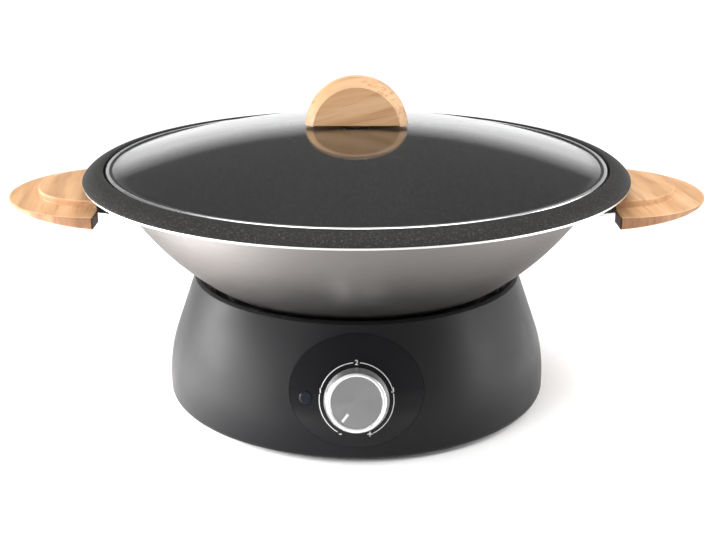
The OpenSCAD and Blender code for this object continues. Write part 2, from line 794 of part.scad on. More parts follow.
// ---- pan ----------------------------------------------------------------

// Bowl cut from a ball, with a thick flat floor, a seat for the lid and a rim
// that rolls outwards
module pan_bowl() color("#4a4b4d") {
    rotate_extrude($fn = 180) {
        difference() {
            translate([0, bowl_z]) circle(bowl_ball_r, $fn = 360);
            translate([0, bowl_z]) circle(bowl_in_r, $fn = 360);
            translate([-2 * rim_r, -rim_r]) square([2 * rim_r, 4 * rim_r]);
            translate([-1, plate_z - 2 * rim_r]) square([2 * rim_r, 2 * rim_r]);
            translate([-1, seat_z]) square([2 * rim_r, 2 * rim_r]);
        }
        translate([0, plate_z]) square([pan_foot_r + 1, pan_floor_t]);
        translate([ball_edge(bowl_in_r, seat_z) + 0.6, seat_z - rim_t])
            square([well_r + rim_t - ball_edge(bowl_in_r, seat_z) - 0.6, rim_t]);
        translate([well_r, seat_z - rim_t])
            square([rim_t, seat_drop + rim_t - 1.4]);
        intersection() {
            translate([roll_x, roll_z]) difference() {
                circle(rim_roll_r, $fn = 120);
                circle(rim_roll_r - rim_t, $fn = 120);
            }
            translate([well_r, rim_edge_z]) square([rim_w, 2 * rim_drop]);
        }
    }
}

// Puts its children at the handle's hollow end, on the slope of its underside
module under_handle() {
    translate([handle_hollow_r, 0, handle_z]) rotate([0, -slab_slope, 0]) children();
}

// Steel bracket: a curved foot welded to the bowl and a tongue under the wood
module bracket(side) {
    mirror([side < 0 ? 1 : 0, 0, 0]) {
        difference() {
            under_handle() union() {
                translate([-bracket_root, -bracket_w / 2, -bracket_t])
                    cube([bracket_root + bracket_len - bracket_w * 0.2, bracket_w, bracket_t]);
                translate([bracket_len - bracket_w * 0.4, 0, -bracket_t])
                    intersection() {
                        cylinder(r = bracket_w * 0.4, h = bracket_t);
                        translate([0, -bracket_w / 2, -1])
                            cube([bracket_w, bracket_w, bracket_t + 2]);
                    }
            }
            translate([0, 0, bowl_z]) sphere(bowl_ball_r + fit_gap, $fn = 180);
            under_handle() for (y = [-1, 1])
                translate([handle_screw_out, y * handle_screw_y, -5])
                    cylinder(r = handle_screw_r + fit_gap, h = 10, $fn = 24);
        }
        intersection() {
            difference() {
                translate([0, 0, bowl_z]) sphere(bowl_ball_r + fit_gap + bracket_t, $fn = 180);
                translate([0, 0, bowl_z]) sphere(bowl_ball_r + fit_gap, $fn = 180);
            }
            translate([bracket_x0 - bracket_root, -bracket_w / 2, weld_top_z - bracket_t - weld_h])
                cube([2 * bracket_root, bracket_w, weld_h + bracket_t / 2]);
        }
    }
}

module bracket_left() color("#c4c5c6") bracket(-1);

module bracket_right() color("#c4c5c6") bracket(1);

// Beech handle: a half-round slab that thins towards its tip, a raised step
// and a hollow end
module handle(side) {
    mirror([side < 0 ? 1 : 0, 0, 0]) difference() {
        union() {
            translate([handle_x, 0, handle_z - slab_t]) cylinder(r = handle_r, h = 2 * slab_t);
            translate([step_x, 0, handle_z]) cylinder(r = step_r, h = slab_t + step_t);
        }
        translate([handle_x - 2 * handle_r, -2 * handle_r, 0])
            cube([2 * handle_r, 4 * handle_r, 2 * crest_z]);
        translate([0, 0, handle_z - 2 * slab_t])
            cylinder(r = handle_hollow_r, h = 6 * slab_t, $fn = 180);
        under_handle() translate([-handle_r, -2 * handle_r, -4 * slab_t])
            cube([3 * handle_r, 4 * handle_r, 4 * slab_t]);
        under_handle() for (y = [-1, 1])
            translate([handle_screw_out, y * handle_screw_y, -1])
                cylinder(r = handle_screw_r + 0.05, h = handle_screw_len + 1, $fn = 24);
    }
}

module handle_left() color("#d9b27c") handle(-1);

module handle_right() color("#d9b27c") handle(1);

// Two screws that come up through the bracket into the wood
module handle_screws(side) {
    mirror([side < 0 ? 1 : 0, 0, 0]) under_handle() for (y = [-1, 1])
        translate([handle_screw_out, y * handle_screw_y, -bracket_t])
            screw_up(handle_screw_r, handle_screw_len, handle_screw_head_r, handle_screw_head_h);
}

module handle_screws_left() color("#b9bbbd") handle_screws(-1);

module handle_screws_right() color("#b9bbbd") handle_screws(1);

// ---- lid ----------------------------------------------------------------

// Domed glass with a ground edge and a hole for the screw
module lid_glass() color("#9fb0b4", 0.4) {
    rotate_extrude($fn = 180) difference() {
        intersection() {
            translate([0, dome_z]) difference() {
                circle(dome_r, $fn = 720);
                circle(dome_r - glass_t, $fn = 720);
            }
            translate([grip_hole_r, glass_foot_z])
                square([glass_edge_r - grip_hole_r, 2 * dome_rise]);
        }
    }
}

// Steel band that wraps the edge of the glass
module lid_band() color("#d0d1d2") {
    rotate_extrude($fn = 180) {
        translate([lid_r - band_t, seat_z]) square([band_t, band_h]);
        translate([band_lip_r - 1.5, seat_z]) square([lid_r - band_lip_r + 1.5, band_t]);
        translate([band_lip_r, band_top_z - band_t]) square([lid_r - band_lip_r, band_t]);
    }
}

// Half-round beech grip with bevelled edges
module lid_grip() color("#dcb988") {
    difference() {
        translate([0, 0, grip_z - grip_sink]) rotate([90, 0, 0])
            rotate_extrude()
                polygon([[0, -grip_t / 2], [grip_r - grip_bevel, -grip_t / 2],
                    [grip_r, -grip_t / 2 + grip_bevel * 1.2],
                    [grip_r, grip_t / 2 - grip_bevel * 1.2],
                    [grip_r - grip_bevel, grip_t / 2], [0, grip_t / 2]]);
        translate([-2 * grip_r, -2 * grip_r, grip_z - 4 * grip_r]) cube(4 * grip_r);
        translate([0, 0, grip_z - 1])
            cylinder(r = lid_screw_r + 0.05, h = lid_screw_depth + 1, $fn = 24);
    }
}

// Thin washer between the glass and the grip
module grip_washer() color("#202022") {
    translate([0, 0, dome_top_z]) difference() {
        cylinder(r = washer_r, h = washer_t, $fn = 48);
        translate([0, 0, -1]) cylinder(r = lid_screw_r + 0.3, h = washer_t + 2, $fn = 24);
    }
}

// Dished washer under the glass
module inner_washer() color("#c4c5c6") {
    translate([0, 0, inner_washer_z]) difference() {
        cylinder(r1 = washer_r - 2, r2 = washer_r, h = inner_washer_t, $fn = 48);
        translate([0, 0, -1]) cylinder(r = lid_screw_r + 0.3, h = inner_washer_t + 2, $fn = 24);
    }
}

// Screw through the glass into the grip
module lid_screw() color("#c4c5c6") {
    translate([0, 0, inner_washer_z])
        screw_up(lid_screw_r, grip_z + lid_screw_depth - 1 - inner_washer_z,
            lid_screw_head_r, lid_screw_head_h);
}

base_shell();
bottom_plate();
feet();
base_screws();
reflector();
reflector_screws();
heating_plate();
heating_element();
plate_screws();
control_panel();
pilot_lens();
pilot_lamp();
thermostat();
thermostat_nut();
sensor_tube();
terminal_block();
thermal_fuse();
wiring();
inlet_shell();
inlet_pins();
control_knob();
knob_disc();
spindle();
pan_bowl();
bracket_left();
bracket_right();
handle_left();
handle_right();
handle_screws_left();
handle_screws_right();
lid_glass();
lid_band();
lid_grip();
grip_washer();
inner_washer();
lid_screw();
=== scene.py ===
"""Table-top electric wok: pan, glass lid, beech handles and heated base, in a studio."""
import json
import math

import bpy
from mathutils import Matrix, Vector


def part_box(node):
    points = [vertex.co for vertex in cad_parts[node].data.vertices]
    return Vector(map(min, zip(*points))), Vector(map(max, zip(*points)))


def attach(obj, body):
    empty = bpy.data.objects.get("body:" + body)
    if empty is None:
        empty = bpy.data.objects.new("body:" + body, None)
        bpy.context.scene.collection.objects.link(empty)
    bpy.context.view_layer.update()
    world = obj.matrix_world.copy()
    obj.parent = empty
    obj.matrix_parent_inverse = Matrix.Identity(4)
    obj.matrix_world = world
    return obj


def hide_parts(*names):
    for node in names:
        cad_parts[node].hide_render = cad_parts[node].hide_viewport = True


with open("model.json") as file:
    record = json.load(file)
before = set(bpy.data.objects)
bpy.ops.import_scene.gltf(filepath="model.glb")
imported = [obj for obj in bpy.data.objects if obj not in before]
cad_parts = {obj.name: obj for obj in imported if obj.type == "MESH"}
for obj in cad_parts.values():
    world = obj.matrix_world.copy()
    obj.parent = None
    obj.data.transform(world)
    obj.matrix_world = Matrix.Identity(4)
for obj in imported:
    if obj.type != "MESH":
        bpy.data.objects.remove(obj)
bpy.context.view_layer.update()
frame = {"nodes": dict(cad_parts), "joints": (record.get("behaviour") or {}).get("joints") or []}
nodes = frame["nodes"]
joints = {joint["name"]: joint for joint in frame["joints"]}
bpy.ops.object.select_all(action="DESELECT")


# ---- Camera ------------------------------------------------------------------
# A short telephoto lens, a little above the lid and straight in front of the
# knob, tipped down so that the whole table top is in view.
EYE_BACK, EYE_HEIGHT = 0.788, 0.344
EYE_TIP = math.radians(18.43)
SENSOR_MM, LENS_MM, EYE_SHIFT = 36, 60.55, 0.002
eye_data = bpy.data.cameras.new("eye")
eye_data.sensor_width = SENSOR_MM
eye_data.lens = LENS_MM
eye_data.shift_x = EYE_SHIFT
eye = bpy.data.objects.new("eye", eye_data)
eye.location = (0, -EYE_BACK, EYE_HEIGHT)
eye.rotation_euler = (math.pi / 2 - EYE_TIP, 0, 0)
bpy.context.scene.collection.objects.link(eye)
bpy.context.scene.camera = eye


# ---- Studio ------------------------------------------------------------------
# A white table top under one broad soft light straight above, in a grey room with
# a white horizon, which the far side of the lid mirrors. Low soft boxes put the
# sheen on the base and the steel pan, and two high ones light the wood.
TABLE_SIZE = 60
SUN_POWER, SUN_SPREAD = 3.4, math.radians(70)
SOFT_BOXES = {  # place, point it faces, width and height, watts
    "left_low_box": ((-0.62, 0.05, 0.14), (-0.1, 0, 0.10), (0.30, 0.20), 3.0),
    "left_floor_box": ((-0.38, -0.15, 0.09), (-0.38, -0.15, 0), (0.34, 0.28), 5.6),
    "front_left_box": ((-1.0, -1.0, 0.90), (0, 0, 0.15), (0.6, 0.6), 11),
    "right_box": ((1.15, 0.15, 0.60), (0, 0, 0.08), (0.4, 0.5), 6),
    "right_low_box": ((0.70, -0.18, 0.14), (0.1, -0.03, 0.10), (0.20, 0.18), 1.0),
    "right_floor_box": ((0.45, -0.08, 0.10), (0.45, -0.08, 0), (0.36, 0.42), 2.2),
}
bpy.context.scene.view_settings.view_transform = "Standard"
bpy.ops.mesh.primitive_plane_add(size=TABLE_SIZE, location=(0, 0, 0))
table_top = bpy.context.object
table_top.name = "table_top"


def new_finish(name, colour, rough, metal=0.0, **sockets):
    """A material, with what its maker would state, and its tree and shader"""
    finish = bpy.data.materials.new(name)
    finish.use_nodes = True
    shader = finish.node_tree.nodes["Principled BSDF"]
    shader.inputs["Base Color"].default_value = (*colour, 1)
    shader.inputs["Roughness"].default_value = rough
    shader.inputs["Metallic"].default_value = metal
    for socket, value in sockets.items():
        shader.inputs[socket.replace("_", " ")].default_value = value
    return finish, finish.node_tree, shader


def grain(tree, scale, stretch=(1, 1, 1), detail=3.0, turn=(0, 0, 0)):
    """Noise across the object, finer along a turned axis where its stretch is larger"""
    place = tree.nodes.new("ShaderNodeTexCoord")
    layout = tree.nodes.new("ShaderNodeMapping")
    layout.vector_type = "TEXTURE"
    layout.inputs["Scale"].default_value = [1 / times for times in stretch]
    layout.inputs["Rotation"].default_value = turn
    noise = tree.nodes.new("ShaderNodeTexNoise")
    noise.inputs["Scale"].default_value = scale
    noise.inputs["Detail"].default_value = detail
    tree.links.new(place.outputs["Object"], layout.inputs["Vector"])
    tree.links.new(layout.outputs["Vector"], noise.inputs["Vector"])
    return noise.outputs["Fac"]


def ramp(tree, amount, stops):
    """Colours along an amount, as (position, colour) stops"""
    band = tree.nodes.new("ShaderNodeValToRGB")
    tree.links.new(amount, band.inputs["Fac"])
    elements = band.color_ramp.elements
    while len(elements) < len(stops):
        elements.new(0.5)
    for element, (position, colour) in zip(elements, stops):
        element.position = position
        element.color = (*colour, 1)
    return band.outputs["Color"]


def dress(piece, *finishes):
    """Gives a piece these finishes, in slots 0, 1, 2"""
    piece.data.materials.clear()
    for finish in finishes:
        piece.data.materials.append(finish)


studio = bpy.data.worlds.new("studio")
studio.use_nodes = True
sky = studio.node_tree
sky_place = sky.nodes.new("ShaderNodeTexCoord")
sky_parts = sky.nodes.new("ShaderNodeSeparateXYZ")
sky.links.new(sky_place.outputs["Generated"], sky_parts.inputs["Vector"])
sky.links.new(ramp(sky, sky_parts.outputs["Z"], [(0.15, (1, 1, 1)), (0.30, (0.135, 0.135, 0.135)),
                                                 (1.0, (0.22, 0.22, 0.22))]),
              sky.nodes["Background"].inputs["Color"])
bpy.context.scene.world = studio

white_card, tree, shader = new_finish("white_card", (0.93, 0.93, 0.93), 0.6)
tree.links.new(ramp(tree, grain(tree, 6), [(0.3, (0.92, 0.92, 0.92)), (0.7, (0.94, 0.94, 0.94))]),
               shader.inputs["Base Color"])
dress(table_top, white_card)

overhead_data = bpy.data.lights.new("overhead", "SUN")
overhead_data.energy = SUN_POWER
overhead_data.angle = SUN_SPREAD
overhead = bpy.data.objects.new("overhead", overhead_data)
bpy.context.scene.collection.objects.link(overhead)
for name, (place, aim, size, power) in SOFT_BOXES.items():
    data = bpy.data.lights.new(name, "AREA")
    data.shape = "RECTANGLE"
    data.size, data.size_y = size
    data.energy = power
    lamp = bpy.data.objects.new(name, data)
    lamp.location = place
    lamp.rotation_euler = (Vector(aim) - Vector(place)).to_track_quat("-Z", "Y").to_euler()
    lamp.visible_camera = False
    bpy.context.scene.collection.objects.link(lamp)


# ---- Base shell --------------------------------------------------------------
# One moulding in black plastic with a satin skin. The tool's fine spark grain
# shows as a soft spread of the highlights on both flanks.
def level(tree, amount, low, high):
    """An amount between 0.3 and 0.7 spread over low to high"""
    spread = tree.nodes.new("ShaderNodeMapRange")
    spread.inputs["From Min"].default_value = 0.3
    spread.inputs["From Max"].default_value = 0.7
    spread.inputs["To Min"].default_value = low
    spread.inputs["To Max"].default_value = high
    tree.links.new(amount, spread.inputs["Value"])
    return spread.outputs["Result"]


def relief(tree, shader, amount, height):
    """Lets an amount stand out of the surface, by a height in metres"""
    bump = tree.nodes.new("ShaderNodeBump")
    bump.inputs["Strength"].default_value = 1
    bump.inputs["Distance"].default_value = height
    tree.links.new(amount, bump.inputs["Height"])
    tree.links.new(bump.outputs["Normal"], shader.inputs["Normal"])


black_moulding, tree, shader = new_finish("black_moulding", (0.008, 0.008, 0.009), 0.40,
                                           Specular_IOR_Level=0.15)
tree.links.new(level(tree, grain(tree, 60, detail=2), 0.38, 0.44), shader.inputs["Roughness"])
relief(tree, shader, grain(tree, 2600, detail=1), 0.00003)
dress(nodes["base_shell"], black_moulding)


# ---- Control panel -----------------------------------------------------------
# A high-gloss oval plate, clipped flush into the wall. The scale is printed in
# pale grey: four arcs, open at the foot, between a minus, 1, 2, 3 and a plus.
gloss_black, tree, shader = new_finish("gloss_black", (0.008, 0.008, 0.009), 0.12,
                                       Specular_IOR_Level=0.17)
tree.links.new(level(tree, grain(tree, 90), 0.10, 0.14), shader.inputs["Roughness"])
dress(nodes["control_panel"], gloss_black)

print_grey, tree, shader = new_finish("print_grey", (0.62, 0.62, 0.62), 0.5)
tree.links.new(ramp(tree, grain(tree, 900),
                    [(0.3, (0.58, 0.58, 0.58)), (0.7, (0.68, 0.68, 0.68))]),
               shader.inputs["Base Color"])

knob_joint = joints["knob_turn"]
outward = Vector(knob_joint["axis"])
knob_tilt = math.asin(outward.z)
on_panel = (Matrix.Translation(knob_joint["pos_m"])
            @ Matrix.Rotation(math.pi / 2 - knob_tilt, 4, "X"))

SCALE_R, SCALE_LINE, SCALE_STEPS = 0.0226, 0.0005, 24
MARKS = {  # sign, degrees clockwise from the top, height of type
    "less": ("-", 205.6, 0.0060), "one": ("1", 284, 0.0042), "two": ("2", 360, 0.0042),
    "three": ("3", 435, 0.0042), "more": ("+", 519, 0.0060)}
MARK_GAP, MARK_BOLD = 5.0, 0.00008
PRESS_FROM, INK_T = 0.004, 0.00005


def settle(piece, place):
    """Moves a piece to its place and leaves its object at the origin, unturned"""
    bpy.ops.object.select_all(action="DESELECT")
    piece.select_set(True)
    bpy.context.view_layer.objects.active = piece
    piece.matrix_world = place @ piece.matrix_world
    bpy.context.view_layer.update()
    bpy.ops.object.transform_apply(location=True, rotation=True, scale=True)


def apply_all(piece):
    """Applies a piece's modifiers in turn"""
    bpy.context.view_layer.objects.active = piece
    for modifier in list(piece.modifiers):
        bpy.ops.object.modifier_apply(modifier=modifier.name)


def lay_on_panel(piece):
    """Presses a flat print onto the curved panel"""
    piece.matrix_world = on_panel @ Matrix.Translation((0, 0, PRESS_FROM)) @ piece.matrix_world
    bpy.context.view_layer.update()
    bpy.ops.object.select_all(action="DESELECT")
    piece.select_set(True)
    bpy.context.view_layer.objects.active = piece
    press = piece.modifiers.new("press", "SHRINKWRAP")
    press.target = nodes["control_panel"]
    press.wrap_method = "PROJECT"
    press.use_project_z = True
    press.use_positive_direction = False
    press.use_negative_direction = True
    press.offset = INK_T
    apply_all(piece)
    bpy.ops.object.transform_apply(location=True, rotation=True, scale=True)
    dress(piece, print_grey)
    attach(piece, "base")


def clockwise(turn, radius):
    """A point round the dial, from the top"""
    angle = math.radians(turn)
    return Vector((radius * math.sin(angle), radius * math.cos(angle), 0))


turns = [turn for body, turn, size in MARKS.values()]
for number, (start, end) in enumerate(zip(turns, turns[1:]), 1):
    bpy.ops.mesh.primitive_plane_add(size=SCALE_LINE)
    line = bpy.context.object
    line.name = f"scale_line_{number}"
    bpy.ops.object.mode_set(mode="EDIT")
    bpy.ops.mesh.select_all(action="SELECT")
    bpy.ops.mesh.merge(type="CENTER")
    bpy.ops.transform.translate(value=clockwise(start + MARK_GAP, SCALE_R - SCALE_LINE / 2))
    bpy.ops.mesh.extrude_region_move(
        TRANSFORM_OT_translate={"value": clockwise(start + MARK_GAP, SCALE_LINE)})
    bpy.ops.mesh.select_all(action="SELECT")
    bpy.ops.mesh.spin(steps=SCALE_STEPS, angle=math.radians(end - start - 2 * MARK_GAP),
                      center=(0, 0, 0), axis=(0, 0, 1))
    bpy.ops.mesh.select_all(action="SELECT")
    bpy.ops.mesh.normals_make_consistent(inside=False)
    bpy.ops.object.mode_set(mode="OBJECT")
    lay_on_panel(line)

for name, (body, turn, size) in MARKS.items():
    bpy.ops.object.text_add()
    mark = bpy.context.object
    mark.data.body = body
    mark.data.size = size
    mark.data.align_x = "CENTER"
    mark.data.align_y = "CENTER"
    mark.data.offset = MARK_BOLD
    bpy.ops.object.convert(target="MESH")
    mark = bpy.context.object
    mark.name = "scale_mark_" + name
    mark.location = clockwise(turn, SCALE_R)
    bpy.context.view_layer.update()
    lay_on_panel(mark)


# ---- Pilot lamp --------------------------------------------------------------
# A smoky moulded lens, pressed flush into the panel. Behind it an ivory plastic
# holder carries a small neon lamp inside the base.
smoky_lens, tree, shader = new_finish("smoky_lens", (0.013, 0.015, 0.024), 0.3,
                                       Specular_IOR_Level=0.15)
tree.links.new(ramp(tree, grain(tree, 300),
                    [(0.3, (0.006, 0.007, 0.013)), (0.7, (0.009, 0.010, 0.018))]),
               shader.inputs["Base Color"])
dress(nodes["pilot_lens"], smoky_lens)

ivory_plastic, tree, shader = new_finish("ivory_plastic", (0.68, 0.64, 0.55), 0.4)
relief(tree, shader, grain(tree, 1500), 0.00002)
dress(nodes["pilot_lamp"], ivory_plastic)


# ---- Knob --------------------------------------------------------------------
# Plastic with a bright silver coat and a rounded edge, and a turned disc let into
# its face. A short groove in the disc, filled with pale paint, is the pointer.
def spun(name, outline, steps=128):
    """A closed turned piece about +Z from its half outline of (radius, height)"""
    bpy.ops.mesh.primitive_plane_add(size=0.001)
    piece = bpy.context.object
    piece.name = name
    bpy.ops.object.mode_set(mode="EDIT")
    bpy.ops.mesh.select_all(action="SELECT")
    bpy.ops.mesh.merge(type="CENTER")
    bpy.ops.transform.translate(value=(outline[0][0], 0, outline[0][1]))
    for (r0, z0), (r1, z1) in zip(outline, outline[1:]):
        bpy.ops.mesh.extrude_region_move(TRANSFORM_OT_translate={"value": (r1 - r0, 0, z1 - z0)})
    bpy.ops.mesh.select_all(action="SELECT")
    bpy.ops.mesh.spin(steps=steps, angle=2 * math.pi, center=(0, 0, 0), axis=(0, 0, 1))
    bpy.ops.mesh.select_all(action="SELECT")
    bpy.ops.mesh.remove_doubles(threshold=0.000002)
    bpy.ops.mesh.select_all(action="SELECT")
    bpy.ops.mesh.normals_make_consistent(inside=False)
    bpy.ops.object.mode_set(mode="OBJECT")
    bpy.ops.object.shade_smooth_by_angle(angle=math.radians(32))
    return piece


def bend(centre_r, centre_z, radius, start, end, count=8):
    """Points along an arc of an outline, with angles in degrees from outwards"""
    turns = [math.radians(start + (end - start) * i / count) for i in range(count + 1)]
    return [(centre_r + radius * math.cos(a), centre_z + radius * math.sin(a)) for a in turns]


KNOB_FOOT, KNOB_TOP = 0.0012, 0.0122
KNOB_R, FACE_R, DISC_R = 0.0198, 0.0179, 0.0152
EDGE, INNER_EDGE = 0.0011, 0.0004
HUB_R, BORE_R = 0.0062, 0.0035
HOLLOW_Z, HUB_Z = KNOB_FOOT + 0.0025, KNOB_FOOT + 0.0045
BED_Z, BORE_Z = KNOB_TOP - 0.0012, KNOB_TOP - 0.004
knob = spun("knob", [
    (HUB_R, HOLLOW_Z), (0.0178, HOLLOW_Z), (0.0180, KNOB_FOOT),
    (KNOB_R - 0.0003, KNOB_FOOT), (KNOB_R, KNOB_FOOT + 0.0004),
    *bend(FACE_R - EDGE, KNOB_TOP - EDGE, EDGE, 8, 90, 6),
    *bend(DISC_R + 0.0009, KNOB_TOP - INNER_EDGE, INNER_EDGE, 90, 180, 4),
    (DISC_R + 0.0005, BED_Z), (0.0, BED_Z), (0.0, BORE_Z),
    (BORE_R, BORE_Z), (BORE_R, HUB_Z), (HUB_R, HUB_Z), (HUB_R, HOLLOW_Z)])
settle(knob, on_panel)
silver, tree, shader = new_finish("silver", (0.95, 0.95, 0.95), 0.36, 1.0)
tree.links.new(level(tree, grain(tree, 140), 0.32, 0.40), shader.inputs["Roughness"])
relief(tree, shader, grain(tree, 1800), 0.000008)
dress(knob, silver)
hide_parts("control_knob")
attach(knob, "knob")

DISC_TOP = KNOB_TOP - 0.0005
disc = spun("knob_face", [
    (0.0, BED_Z), (DISC_R + 0.0002, BED_Z), (DISC_R + 0.0002, KNOB_TOP - 0.0008),
    (DISC_R - 0.0001, DISC_TOP), (0.0, DISC_TOP)])
POINTER_TURN, POINTER_R = 217.0, 0.0113
POINTER_SIZE = (0.0016, 0.0058, 0.0009)
bpy.ops.mesh.primitive_cube_add(size=1, scale=POINTER_SIZE)
slit = bpy.context.object
bpy.ops.object.transform_apply(scale=True)
slit.matrix_world = (Matrix.Rotation(-math.radians(POINTER_TURN), 4, "Z")
                     @ Matrix.Translation((0, POINTER_R, KNOB_TOP - 0.0003)))
bpy.context.view_layer.update()
cut = disc.modifiers.new("pointer", "BOOLEAN")
cut.operation = "DIFFERENCE"
cut.solver = "EXACT"
cut.object = slit
apply_all(disc)
bpy.data.objects.remove(slit)
groove = [face.index for face in disc.data.polygons
          if BED_Z + 0.0001 < face.center.z < DISC_TOP - 0.0001
          and math.hypot(*face.center.xy) < DISC_R - 0.0004]
settle(disc, on_panel)
turned_disc, tree, shader = new_finish("turned_disc", (0.31, 0.31, 0.31), 0.34, 1.0,
                                       Anisotropic=0.5)
tree.links.new(level(tree, grain(tree, 700), 0.28, 0.42), shader.inputs["Roughness"])
relief(tree, shader, grain(tree, 4000, detail=1), 0.000012)
groove_paint, tree, shader = new_finish("groove_paint", (0.85, 0.85, 0.85), 0.5)
relief(tree, shader, grain(tree, 2500), 0.00001)
dress(disc, turned_disc, groove_paint)
for index in groove:
    disc.data.polygons[index].material_index = 1
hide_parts("knob_disc")
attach(disc, "knob")


# ---- Pan ---------------------------------------------------------------------
# One pressing: satin steel-grey outside, and inside and over the rolled rim a
# dark non-stick coat with fine pale flecks. The rim's cut edge stays bright.
pan_low, pan_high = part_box("pan_bowl")
FOOT_Z, CREST_Z, RIM_R = pan_low.z, pan_high.z, pan_high.x
BALL_R, WALL, PAN_FLOOR, FOOT_R, RIM_T = 0.1815, 0.003, 0.004, 0.061, 0.0028
BALL_Z = FOOT_Z + math.sqrt(BALL_R ** 2 - FOOT_R ** 2)
SEAT_Z, LIP_Z = CREST_Z - 0.0062, CREST_Z - 0.0082
WELL_R, WELL_EDGE, ROLL_R = 0.1664, 0.0012, 0.01632
ROLL_X, ROLL_Z = WELL_R + RIM_T * 0.15, CREST_Z - ROLL_R
UNDER_Z = SEAT_Z - RIM_T


def on_ball(radius, z):
    """How far out the bowl's wall is at a height"""
    return math.sqrt(radius ** 2 - (BALL_Z - z) ** 2)


def ball_arc(radius, z_start, z_end, count):
    """Points of an outline along the bowl's wall"""
    heights = [z_start + (z_end - z_start) * i / count for i in range(count + 1)]
    return [(on_ball(radius, z), z) for z in heights]


inner = BALL_R - WALL
pan = spun("pan", [
    (0.0, FOOT_Z + PAN_FLOOR), *ball_arc(inner, FOOT_Z + PAN_FLOOR, SEAT_Z - 0.0004, 40),
    (on_ball(inner, SEAT_Z) + 0.0008, SEAT_Z), (WELL_R - 0.0006, SEAT_Z),
    (WELL_R, SEAT_Z + 0.0006), (WELL_R, CREST_Z - WELL_EDGE),
    *bend(WELL_R + WELL_EDGE, CREST_Z - WELL_EDGE, WELL_EDGE, 180, 96, 5),
    *bend(ROLL_X, ROLL_Z, ROLL_R, 83, 36.6, 12),
    (RIM_R, ROLL_Z + 0.0093), (RIM_R - 0.0002, LIP_Z), (RIM_R - 0.0022, LIP_Z),
    *bend(ROLL_X, ROLL_Z, ROLL_R - RIM_T, 38.5, 79, 9),
    (WELL_R + RIM_T, UNDER_Z + 0.0006), (WELL_R + RIM_T - 0.0006, UNDER_Z),
    (on_ball(BALL_R, UNDER_Z) + 0.0006, UNDER_Z),
    *ball_arc(BALL_R, UNDER_Z - 0.0008, FOOT_Z + 0.0005, 48),
    (FOOT_R - 0.0005, FOOT_Z), (0.0, FOOT_Z)], steps=180)

satin_pan, tree, shader = new_finish("satin_pan", (0.17, 0.161, 0.156), 0.42, 1.0,
                                     Specular_Tint=(0.4, 0.4, 0.4, 1))
tree.links.new(level(tree, grain(tree, 60, (1, 1, 9)), 0.39, 0.45), shader.inputs["Roughness"])
relief(tree, shader, grain(tree, 1500, detail=2), 0.000004)

non_stick, tree, shader = new_finish("non_stick", (0.022, 0.021, 0.020), 0.46,
                                     Specular_IOR_Level=0.03)
tree.links.new(ramp(tree, grain(tree, 800, detail=3),
                    [(0.40, (0.027, 0.0263, 0.0257)), (0.58, (0.034, 0.0331, 0.0323)),
                     (0.66, (0.060, 0.0585, 0.057))]), shader.inputs["Base Color"])
relief(tree, shader, grain(tree, 1100, detail=2), 0.00001)
cut_edge, tree, shader = new_finish("cut_edge", (0.60, 0.59, 0.58), 0.3, 1.0)
relief(tree, shader, grain(tree, 900), 0.000006)
dress(pan, satin_pan, non_stick, cut_edge)
for face in pan.data.polygons:
    middle = face.center
    reach = math.hypot(middle.x, middle.y)
    inside = middle.z > FOOT_Z + 0.003 and face.normal.z > -0.02 and reach < ROLL_X
    rolled = middle.z > LIP_Z + 0.0012 and reach > WELL_R and face.normal.z > -0.02
    from_roll = math.hypot(middle.z - ROLL_Z, reach - ROLL_X)
    below = reach > ROLL_X + 0.003 and from_roll < ROLL_R - RIM_T * 0.5
    face.material_index = 1 if (inside or rolled) and not below else 0
    if reach > RIM_R - 0.0005 and middle.z < ROLL_Z + 0.0092:
        face.material_index = 2
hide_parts("pan_bowl")
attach(pan, "pan")


# ---- Handles -----------------------------------------------------------------
# Each handle is a half round of oiled beech with a raised step, hollowed where it
# meets the bowl, and screwed to a welded steel bracket. Its steep sides carry painted
# shade, and its sawn ends a darker painted shade over somewhat darker end grain.
handle_low, handle_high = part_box("handle_right")
SLAB_X, SLAB_R, SLAB_T = 0.1644, 0.068, 0.0075
STEP_X, STEP_R, STEP_T = 0.167, 0.046, 0.005
HOLLOW_R, SLOPE = 0.172, math.radians(5.4)
HANDLE_EDGE = 0.0014
STEP_Z = handle_high.z - STEP_T


def disc_of_wood(name, x, radius, z0, z1):
    """An upright cylinder between two heights"""
    bpy.ops.mesh.primitive_cylinder_add(vertices=192, radius=radius, depth=z1 - z0,
                                        location=(x, 0, (z0 + z1) / 2))
    piece = bpy.context.object
    piece.name = name
    bpy.ops.object.transform_apply(location=True)
    return piece


def join_or_cut(piece, tool, operation):
    """Joins a tool to a piece or cuts it out, and deletes the tool"""
    change = piece.modifiers.new(operation.lower(), "BOOLEAN")
    change.operation = operation
    change.solver = "EXACT"
    change.object = tool
    apply_all(piece)
    bpy.data.objects.remove(tool)


def cut_flat(piece, place, normal):
    """Saws a piece off at a plane and keeps the side that the normal points to"""
    bpy.ops.object.select_all(action="DESELECT")
    piece.select_set(True)
    bpy.context.view_layer.objects.active = piece
    bpy.ops.object.mode_set(mode="EDIT")
    bpy.ops.mesh.select_all(action="SELECT")
    bpy.ops.mesh.bisect(plane_co=place, plane_no=normal, clear_inner=True, use_fill=True)
    bpy.ops.object.mode_set(mode="OBJECT")


